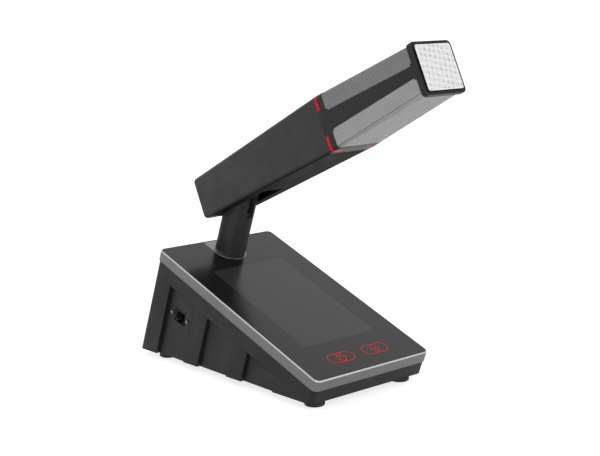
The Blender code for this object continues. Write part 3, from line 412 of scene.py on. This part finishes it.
def smoked_glass(name):
    """Glass backed with black ink, with the screen's slightly lighter field and faint smears. A
    place lies in the field where x, and s less the field's middle, are within its half sizes."""
    ink = grey(0.009)
    screen = grey(0.026)
    paint = Paint(name, ink, 0.12, specular=0.22)
    place = paint.turned((panel_tilt, 0.0, 0.0), origin=tuple(panel_origin))
    parts = paint.parts(place)
    side = paint.math("LESS_THAN", paint.math("ABSOLUTE", parts["X"]), screen_half_width)
    middle = (screen_near + screen_far) / 2
    reach = (screen_far - screen_near) / 2
    along = paint.math("ABSOLUTE", paint.math("SUBTRACT", parts["Y"], middle))
    inside = paint.math("MULTIPLY", side, paint.math("LESS_THAN", along, reach))
    paint.color(paint.blend(inside, ink, screen))
    smear = paint.span(paint.noise(45.0, 5.0, place), 0.35, 0.75, 0.19, 0.24)
    paint.link(smear, paint.shader.inputs["Roughness"])
    paint.bump(paint.noise(700.0, 2.0, place), 0.0000008)
    return paint.material


def red_diffuser(name, glow):
    """Red translucent plastic that glows a little, cloudy inside."""
    red = (0.36, 0.004, 0.008)
    paint = Paint(name, red, 0.35, specular=0.1)
    cloud = paint.noise(220.0, 3.0)
    paint.cloudy(cloud, red, 0.82, 1.15)
    paint.roughness(cloud, 0.28, 0.44)
    paint.glow((1.0, 0.012, 0.02, 1.0), glow)
    paint.bump(cloud, 0.00001)
    return paint.material


def mesh_metal(name, color, roughness, metallic):
    """Stamped mesh: bare metal with a faint unevenness from the press."""
    paint = Paint(name, color, roughness, metallic)
    paint.cloudy(paint.noise(70.0, 4.0), color, 0.86, 1.12)
    paint.roughness(paint.noise(400.0), roughness - 0.08, roughness + 0.08)
    paint.bump(paint.noise(1500.0, 2.0), 0.00001)
    return paint.material


def pale_weave(name, color):
    """Pale mesh pressed from woven wire: darker spots where the wires dip, in slanted rows, each
    spot the product of two waves across the plate."""
    paint = Paint(name, color, 0.5)
    place = paint.turned((-head_elevation, 0.0, 0.0), origin=tuple(hinge))
    slanted = paint.tree.nodes.new("ShaderNodeMapping")
    slanted.inputs["Rotation"].default_value = (0.0, weave_turn, 0.0)
    paint.link(place, slanted.inputs["Vector"])
    parts = paint.parts(slanted.outputs["Vector"])
    waves = [paint.math("SINE", paint.math("MULTIPLY", parts[axis], 2 * pi / weave_pitch))
             for axis in ("X", "Z")]
    dip = paint.span(paint.math("MULTIPLY", waves[0], waves[1]), -0.3, 0.8, 0.0, 1.0)
    spots = paint.math("MULTIPLY", dip, paint.span(paint.noise(380.0), 0.35, 0.65, 0.15, 1.0))
    paint.cloudy(spots, color, 1.0, 0.60)
    paint.link(paint.span(spots, 0.0, 1.0, 0.42, 0.60), paint.shader.inputs["Roughness"])
    paint.bump(spots, -0.0001)
    return paint.material


def circuit_board(name):
    """Green solder resist over copper tracks on a fine grid."""
    green = (0.010, 0.085, 0.036)
    track = (0.020, 0.150, 0.060)
    paint = Paint(name, green, 0.38)
    brick = paint.tree.nodes.new("ShaderNodeTexBrick")
    brick.inputs["Scale"].default_value = 180.0
    brick.inputs["Mortar Size"].default_value = 0.05
    paint.link(paint.place, brick.inputs["Vector"])
    paint.color(paint.blend(brick.outputs["Fac"], green, track))
    paint.roughness(paint.noise(300.0), 0.30, 0.48)
    paint.bump(brick.outputs["Fac"], 0.00003)
    return paint.material


def plated_steel(name, color, roughness):
    """Zinc-plated steel with a fine random scratch."""
    paint = Paint(name, color, roughness, 1.0)
    scratch = paint.noise(700.0, 3.0, paint.turned((0.0, 0.0, radians(20.0)), (1.0, 0.05, 1.0)))
    paint.cloudy(paint.noise(50.0, 4.0), color, 0.82, 1.1)
    paint.roughness(scratch, roughness - 0.08, roughness + 0.10)
    paint.bump(scratch, 0.000008)
    return paint.material


def soft_rubber(name):
    """Moulded rubber with dust in its pores."""
    black = grey(0.018)
    paint = Paint(name, black, 0.80, specular=0.3)
    paint.cloudy(paint.noise(150.0, 5.0), black, 0.8, 1.9)
    paint.roughness(paint.noise(300.0), 0.72, 0.92)
    paint.bump(paint.noise(1200.0, 2.0), 0.00004)
    return paint.material


def open_foam(name):
    """Open-cell foam: pits between thin walls, darker at their middles as painted shade."""
    paint = Paint(name, grey(0.02), 0.95, specular=0.1)
    cells = paint.tree.nodes.new("ShaderNodeTexVoronoi")
    cells.inputs["Scale"].default_value = 900.0
    paint.link(paint.place, cells.inputs["Vector"])
    paint.color(paint.blend(cells.outputs["Distance"], grey(0.006), grey(0.03)))
    paint.bump(cells.outputs["Distance"], 0.0003)
    return paint.material


# A finish for each slot of the record, and the finishes of single pieces
finishes = {
    "black_plastic": moulded("satin_black_plastic", grey(0.018), 0.50),
    "dark_metal": anodised("dark_anodised_metal", grey(0.015), 0.42, 0.1, specular=0.2),
    "band_metal": anodised("satin_anodised_band", (0.150, 0.150, 0.151), 0.42, 0.85, panel_tilt),
    "plate_metal": anodised("satin_anodised_plate", grey(0.25), 0.40, 0.85, panel_tilt),
    "black_glass": smoked_glass("black_backed_glass"),
    "screen_back": plated_steel("bare_screen_sheet", (0.46, 0.47, 0.48), 0.38),
    "red_light": red_diffuser("red_light_guide", 0.12),
    "board_green": circuit_board("green_circuit_board"),
    "steel": plated_steel("zinc_plated_steel", (0.52, 0.52, 0.53), 0.30),
    "rubber": soft_rubber("black_rubber"),
    "mesh_metal": mesh_metal("stamped_mesh", grey(0.33), 0.45, 0.5),
    "front_mesh": pale_weave("pale_woven_mesh", grey(0.74)),
    "foam": open_foam("acoustic_foam"),
    "brass": plated_steel("turned_brass", (0.58, 0.40, 0.14), 0.28),
}
# A darker copy of the stamped mesh for the upper mesh: painted shade.
shaded_mesh = mesh_metal("stamped_mesh_painted_shade", grey(0.18), 0.45, 0.5)
black_bar = drawn_bar("drawn_black_bar", grey(0.029), 0.48)
casing_plastic = moulded("casing_black_plastic", grey(0.011), 0.52, 0.20)
# Painted shade: a darker finish on the casing's broken edges gives thin shadow lines at recess edges and corners.
casing_edge_shade = moulded("casing_edge_painted_shade", grey(0.006), 0.70, 0.05)
rim_plastic = moulded("black_front_rim", grey(0.011), 0.46, 0.2)
# The underside cover's plastic, darker than the shell as painted shade under the head.
dull_shaded_plastic = moulded("dull_underside_painted_shade", grey(0.010), 0.65, 0.05)
# Near-black on the hinge arm as painted shade in the slot.
arm_shade_black = anodised("hinge_arm_painted_shade", grey(0.006), 0.50, 0.0, specular=0.1)
plate_edge = anodised("plate_edge_break", (0.09, 0.09, 0.091), 0.40, 0.85, panel_tilt)
dull_screw = plated_steel("dull_screw_steel", (0.30, 0.30, 0.305), 0.42)
black_steel = plated_steel("blackened_steel", (0.020, 0.020, 0.021), 0.60)
socket_plastic = moulded("blue_black_socket", (0.017, 0.018, 0.024), 0.60, 0.06)
# Lighter broken edges: rubbed wear, and partly a painted highlight along the edges.
worn_highlit_plastic = moulded("rubbed_plastic_edge_painted_highlight", grey(0.034), 0.40, 0.35)
worn_highlit_metal = anodised("rubbed_metal_edge_painted_highlight", grey(0.030), 0.36, 0.2)
bright_chamfer = anodised("bright_cut_chamfer", (0.52, 0.52, 0.525), 0.30, 0.9, panel_tilt)
key_red = red_diffuser("red_key_line", 0.14)
own_finish = {
    "post": black_bar,
    "base_casing": casing_plastic,
    "network_socket": socket_plastic,
    "cover_screw_rear": black_steel,
    "cover_screw_front": black_steel,
    "stop_pin": black_steel,
    "nose_rim": rim_plastic,
    "underside_cover": dull_shaded_plastic,
    "socket_screw_front": dull_screw,
    "socket_screw_rear": dull_screw,
    "hinge_arm": arm_shade_black,
}
body_of_node = {node: body for body, names in frame["record"]["behaviour"]["bodies"].items()
                for node in names}
slot_of_node = {part["node"]: part["material_slot"] for part in frame["record"]["subparts"]}


def finish_of(name):
    """A node's own finish, or else the one of its slot."""
    return own_finish.get(name, finishes[slot_of_node[name]])


def dress_all():
    """Give each node its finish."""
    for name, thing in nodes.items():
        thing.data.materials.clear()
        thing.data.materials.append(finish_of(name))


def settle(thing, body, slot, *replaced):
    """Let a piece ride on a body and stand for the nodes it replaces. Its slot is not used."""
    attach(thing, body)
    if replaced:
        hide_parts(*replaced)


def softened(name, width, edge_finish, clamped=True):
    """A copy of a node with its doubles merged, its flat faces joined and its edges broken, the
    broken edge in a finish of its own. Clamping keeps a bevel from passing the shortest edge
    near it, which on the casing would leave almost nothing of it."""
    source = nodes[name]
    work = bmesh.new()
    work.from_mesh(source.data)
    bmesh.ops.remove_doubles(work, verts=work.verts, dist=merge_distance)
    bmesh.ops.dissolve_limit(work, angle_limit=flat_angle, verts=work.verts, edges=work.edges)
    mesh = bpy.data.meshes.new(f"{name}_dressed")
    work.to_mesh(mesh)
    work.free()
    mesh.materials.append(finish_of(name))
    mesh.materials.append(edge_finish)
    thing = bpy.data.objects.new(f"{name}_dressed", mesh)
    bpy.context.scene.collection.objects.link(thing)
    shade(thing)
    edge = thing.modifiers.new("broken_edge", "BEVEL")
    edge.width = width
    edge.segments = 2
    edge.limit_method = "ANGLE"
    edge.use_clamp_overlap = clamped
    edge.angle_limit = bevel_angle
    edge.material = 1
    edge.harden_normals = True
    settle(thing, body_of_node[name], slot_of_node[name], name)


# The aluminium band
def build_band():
    """The band: a profile of inset and height carried round the rounded outline of the panel,
    each point at the outline's place minus its inset along the outward direction. The profile's
    second side is the bright chamfer."""
    foot = -band_height
    profile = np.array(((0.0, foot + band_foot_break), (0.0, -band_chamfer), (band_chamfer, 0.0),
                        (band_lip, 0.0), (band_lip, -ledge_top), (ledge_reach, -ledge_top),
                        (ledge_reach, -ledge_floor), (band_wall, -ledge_floor),
                        (band_wall, foot), (band_foot_break, foot)))
    finish_of_side = np.zeros(len(profile), int)
    finish_of_side[1] = 1
    outline, outward = rounded_rectangle(panel_width / 2, panel_length / 2, panel_corner)
    ring = outline[:, None, :] - outward[:, None, :] * profile[None, :, :1]
    heights = np.broadcast_to(profile[None, :, 1:], (len(outline), len(profile), 1))
    points = np.concatenate((ring, heights), axis=-1)
    points[..., 1] += panel_length / 2
    faces = grid_faces(len(outline), len(profile), True, True)
    band = mesh_of("aluminium_band", on_panel(points), faces,
                   [finishes["band_metal"], bright_chamfer],
                   np.tile(finish_of_side, len(outline)))
    outwards(band)
    shade(band)
    settle(band, "base", "band_metal", "bezel_frame")


# Touch keys
def ribbon(line, width):
    """Both edges of a closed line: each place plus and minus half the width along its normal,
    the normal being the line's direction turned a quarter."""
    ahead = np.roll(line, -1, axis=0) - np.roll(line, 1, axis=0)
    ahead /= np.linalg.norm(ahead, axis=1, keepdims=True)
    normal = np.stack((-ahead[:, 1], ahead[:, 0]), axis=-1)
    return np.stack((line - normal * width / 2, line + normal * width / 2), axis=1)


def loop_line(centre_x, centre_s, half_length, half_width, steps=14):
    """An obround line: two half circles of the half width, joined by straights."""
    t = np.linspace(-pi / 2, pi / 2, steps)
    reach = half_length - half_width
    end = np.stack((np.cos(t) * half_width + reach, np.sin(t) * half_width), axis=-1)
    return np.concatenate((end, -end)) + np.array((centre_x, centre_s))


def polygon_line(centre_x, centre_s, radius, sides, start):
    """A regular polygon's corners: the centre plus the radius at equal turns."""
    t = start + 2 * pi * np.arange(sides) / sides
    corners = np.stack((np.cos(t), np.sin(t)), axis=-1) * radius
    return corners + np.array((centre_x, centre_s))


def build_key(name, x, mark, mark_line):
    """The red lines of one touch key: two overlapping loops and a small plain mark, laid on the
    glass as flat ribbons and thickened down to it."""
    loops = [loop_line(x + side * key_loop_offset, key_centre, key_loop_half_length,
                       key_loop_half_width) for side in (-1.0, 1.0)]
    places = []
    faces = []
    count = 0
    for line, width in ((loops[0], key_line), (loops[1], key_line), (mark, mark_line)):
        edges = ribbon(line, width)
        level = np.full((*edges.shape[:2], 1), key_lift - glass_recess)
        places.append(np.concatenate((edges, level), axis=-1).reshape(-1, 3))
        faces.append(grid_faces(len(line), 2, True) + count)
        count += len(line) * 2
    thing = mesh_of(name, on_panel(np.concatenate(places)), np.concatenate(faces), [key_red])
    body = thing.modifiers.new("thickness", "SOLIDIFY")
    body.thickness = key_lift
    settle(thing, "base", "red_light")


def build_keys():
    """Both touch keys. The left mark is a triangle whose line is so wide that it fills it, and
    the right mark is a square."""
    left = -key_spacing / 2
    right = key_spacing / 2
    triangle = polygon_line(left, key_centre + triangle_lift, triangle_reach, 3, pi / 2)
    square = polygon_line(right, key_centre, square_reach, 4, pi / 4)
    build_key("key_lines_left", left, triangle, triangle_line)
    build_key("key_lines_right", right, square, square_line)


# Meshes of the head
def front_section(y):
    """Half width, bottom and top of the grille section at places along the head, straight from
    the junction's to the front's."""
    share = (junction_y - y) / (junction_y - front_y)
    half = junction_half_width + (front_half_width - junction_half_width) * share
    low = pivot_below_axis - junction_half_height - (front_drop - junction_half_height) * share
    high = pivot_below_axis + junction_half_height + (front_rise - junction_half_height) * share
    return half, low, high


def wrap_place(run, y, inset, up):
    """The place on the skin of a run across the upper or the lower mesh: down one side, round
    the edge by angle = arc / radius, over the flat, round the other edge and down."""
    half, low, high = front_section(y)
    half = half - inset
    level = high - inset if up else low + inset
    way = 1.0 if up else -1.0
    radius = edge_radius - inset
    flat = half - radius
    quarter = radius * pi / 2
    side = np.sign(run)
    distance = np.abs(run)
    past_flat = np.clip(distance - flat, 0.0, quarter)
    past_edge = np.maximum(distance - flat - quarter, 0.0)
    angle = past_flat / radius
    x = side * (np.minimum(distance, flat) + radius * np.sin(angle))
    z = level - way * (radius * (1.0 - np.cos(angle)) + past_edge)
    return np.stack((x, y, z), axis=-1)


def run_to_rail(y):
    """How far it is over the skin from the middle to the rail edge of a mesh."""
    half = front_section(y)[0] - mesh_recess
    radius = edge_radius - mesh_recess
    return half - radius + radius * pi / 2 + mesh_side - edge_radius


def window_keeps(run, y, rear, front):
    """Which cells lie inside the window: all but those in the round corners at the rail, where
    the distance to the corner's centre is over its radius."""
    to_rail = run_to_rail(y) - np.abs(run)
    to_end = np.minimum(rear - y, y - front)
    in_corner = (to_rail < window_radius) & (to_end < window_radius)
    distance = np.hypot(window_radius - to_rail, window_radius - to_end)
    return ~in_corner | (distance < window_radius - mesh_pitch * corner_slack)


def perforated(name, up, finish, rear, front):
    """A sheet with round holes on a grid: each cell is laid on the skin by its run and place.
    Where the lower sheet is bent, the press has drawn the holes larger."""
    rows = int((rear - front) / mesh_pitch)
    pitch_y = (rear - front) / rows
    widest = run_to_rail(rear)
    columns = 2 * int(widest / mesh_pitch)
    i, j = np.meshgrid(np.arange(rows), np.arange(columns), indexing="ij")
    rim, hole = cell_shape(mesh_hole_share)
    centre = np.stack((j + 0.5 - columns / 2, i + 0.5), axis=-1).reshape(-1, 1, 1, 2)
    bend = front_section(rear)[0] - edge_radius * (1.0 - pi / 4)
    at_bend = np.abs(np.abs(centre[..., 0]) * widest * 2 / columns - bend) < mesh_pitch / 2
    growth = np.where(at_bend & (not up), fold_hole_growth, 1.0)
    rims = np.broadcast_to(rim, (len(centre), cell_points, 2))
    grid = centre + np.stack((rims, hole * growth), axis=1)
    y = rear - grid[..., 1] * pitch_y
    run = grid[..., 0] * 2 * run_to_rail(y) / columns
    keep = window_keeps(run.mean(axis=(1, 2)), y.mean(axis=(1, 2)), rear, front)
    y = y[keep]
    run = run[keep]
    top = wrap_place(run, y, mesh_recess, up)
    under = wrap_place(run, y, mesh_recess + mesh_thickness, up)
    points = np.concatenate((top, under), axis=1)
    faces = cell_faces(len(points))
    if up:
        faces = faces[..., ::-1]
    return mesh_of(name, in_head(points.reshape(-1, 3)), faces, [finish])


def build_grilles():
    """The upper and the lower mesh, each over its window in the frame."""
    rear = junction_y - collar_length - window_gap
    front = front_y + nose_length + window_strip
    # The upper mesh takes the darker copy of the mesh metal as painted shade.
    for name, node, up, finish in (("upper_mesh", "upper_grille", True, shaded_mesh),
                                   ("lower_mesh", "lower_grille", False, finishes["mesh_metal"])):
        mesh = perforated(name, up, finish, rear, front)
        settle(mesh, "head", "mesh_metal", node)


def plate_cells():
    """The front plate's cells as x and z from its middle, on a grid turned an eighth of a turn.
    A cell whose hole would pass the plate's rounded outline is left out, and a point that passes
    it is drawn back along its line to the corner's centre."""
    count = int((plate_half_width + plate_half_height) / plate_pitch) + 1
    i, j = np.meshgrid(np.arange(-count, count), np.arange(-count, count), indexing="ij")
    centre = np.stack((i + 0.5, j + 0.5), axis=-1).reshape(-1, 1, 1, 2)
    grid = (centre + np.stack(cell_shape(plate_hole_share))[None]) * plate_pitch
    diagonal = np.sqrt(0.5)
    grid = grid @ np.array(((diagonal, diagonal), (-diagonal, diagonal)))
    core = np.array((plate_half_width, plate_half_height)) - plate_corner
    reach = plate_corner - plate_edge_gap
    hole_radius = plate_pitch * np.sqrt(plate_hole_share / pi)
    middle = np.maximum(np.abs(grid.mean(axis=(1, 2))) - core, 0.0)
    grid = grid[np.linalg.norm(middle, axis=1) < reach - hole_radius]
    past = np.maximum(np.abs(grid) - core, 0.0)
    distance = np.linalg.norm(past, axis=-1, keepdims=True)
    past *= reach / np.maximum(distance, reach)
    return np.sign(grid) * (np.minimum(np.abs(grid), core) + past)


def behind_face(flat, depth):
    """Head places of points of the plate's own x and z, a depth behind its face."""
    places = np.full((*flat.shape[:-1], 3), front_y - plate_proud + depth)
    places[..., 0] = flat[..., 0]
    places[..., 2] = flat[..., 1] + pivot_below_axis
    return places


def build_front_plate():
    """The plate in the front rim: its cells, a little sunk, and a plain border whose outer ring
    is the plate's rounded outline and whose inner ring is the same outline drawn in by the
    margin. The border's outer side is black, as painted shade in the gap beside the rim."""
    flat = plate_cells()
    cells = np.concatenate((behind_face(flat, plate_sink), behind_face(flat, plate_thickness)),
                           axis=1)
    sheet = mesh_of("front_mesh_plate", in_head(cells.reshape(-1, 3)), cell_faces(len(cells)),
                    [finishes["front_mesh"]])
    settle(sheet, "head", "front_mesh", "front_grille")
    outline, outward = rounded_rectangle(plate_half_width, plate_half_height, plate_corner)
    inner = outline - outward * plate_margin
    profile = np.stack((behind_face(outline, plate_thickness), behind_face(outline, 0.0),
                        behind_face(inner, 0.0), behind_face(inner, plate_thickness)), axis=1)
    # The border's outer side takes the black rim plastic as painted shade in the gap beside the rim.
    border = mesh_of("front_plate_border", in_head(profile.reshape(-1, 3)),
                     grid_faces(len(outline), 4, True, True),
                     [finishes["front_mesh"], rim_plastic], np.tile([1, 0, 0, 0], len(outline)))
    outwards(border)
    settle(border, "head", "front_mesh", "front_grille")


# Floor, light and camera
def build_stage():
    """A pale floor that sweeps up into a backdrop: past the floor's reach, depth grows by the
    sweep's radius times sin t and height by the radius times 1 - cos t, t running a quarter
    turn."""
    t = np.linspace(0.0, pi / 2, sweep_steps)
    depth = np.concatenate(((floor_front, 0.0), floor_reach + sweep_radius * np.sin(t),
                            (floor_reach + sweep_radius,)))
    height = np.concatenate(((0.0, 0.0), sweep_radius * (1 - np.cos(t)),
                             (sweep_radius + wall_height,)))
    view = np.array((-sin(camera_azimuth), cos(camera_azimuth)))
    side = np.array((cos(camera_azimuth), sin(camera_azimuth)))
    rows = []
    for edge in (-floor_half_width, floor_half_width):
        flat = depth[:, None] * view + edge * side
        rows.append(np.column_stack((flat, height)))
    paint = Paint("pale_floor", grey(0.40), 0.9, specular=0.1)
    paint.color(paint.blend(paint.noise(2.0), grey(0.39), grey(0.41)))
    paint.glow(white, floor_glow)
    floor = mesh_of("floor", np.stack(rows, axis=1), grid_faces(len(depth), 2), [paint.material])
    shade(floor, pi)


def area_light(name, place, size, power):
    """A soft square light that faces the middle of the object."""
    light = bpy.data.lights.new(name, "AREA")
    light.size = size
    light.energy = power
    thing = bpy.data.objects.new(name, light)
    thing.location = place
    away = Vector(place) - Vector(light_target)
    thing.rotation_euler = away.to_track_quat("Z", "Y").to_euler()
    bpy.context.scene.collection.objects.link(thing)


def build_lights():
    """A pale room light, with a large soft key from the front left and a fill."""
    world = bpy.data.worlds.new("room")
    bpy.context.scene.world = world
    world.use_nodes = True
    room = world.node_tree.nodes["Background"]
    room.inputs["Color"].default_value = white
    room.inputs["Strength"].default_value = 1.0
    area_light("key_light", key_light_place, key_light_size, key_light_power)
    area_light("front_fill", fill_place, fill_size, fill_power)


def build_camera():
    """The camera that the photograph was taken with, from its fitted place, turn and lens."""
    data = bpy.data.cameras.new("photo_camera")
    data.lens = camera_lens
    data.sensor_width = camera_sensor
    data.shift_x, data.shift_y = camera_shift
    data.clip_start = 0.05
    data.clip_end = 50.0
    camera = bpy.data.objects.new("photo_camera", data)
    camera_place = panel_origin + np.array(camera_offset)
    turn = (Matrix.Rotation(camera_azimuth, 4, "Z")
            @ Matrix.Rotation(pi / 2 - camera_elevation, 4, "X")
            @ Matrix.Rotation(camera_roll, 4, "Z"))
    camera.matrix_world = Matrix.Translation(camera_place) @ turn
    bpy.context.scene.collection.objects.link(camera)
    bpy.context.scene.camera = camera


build_camera()
dress_all()
# The casing's broken edges take the darker finish as painted shade along them.
softened("base_casing", casing_break, casing_edge_shade, False)
# These plastic edges are lighter as wear and as painted highlight.
for node_name in ("bottom_cover", "head_shell", "underside_cover", "nose_rim"):
    softened(node_name, plastic_break, worn_highlit_plastic)
# These metal edges are lighter as wear and as painted highlight.
for node_name in ("post", "grille_frame"):
    softened(node_name, metal_break, worn_highlit_metal)
softened("network_socket", socket_break, socket_plastic)
softened("post_plate", metal_break, plate_edge)
build_band()
build_keys()
build_grilles()
build_front_plate()
build_stage()
build_lights()
bpy.context.scene.view_settings.view_transform = "Standard"
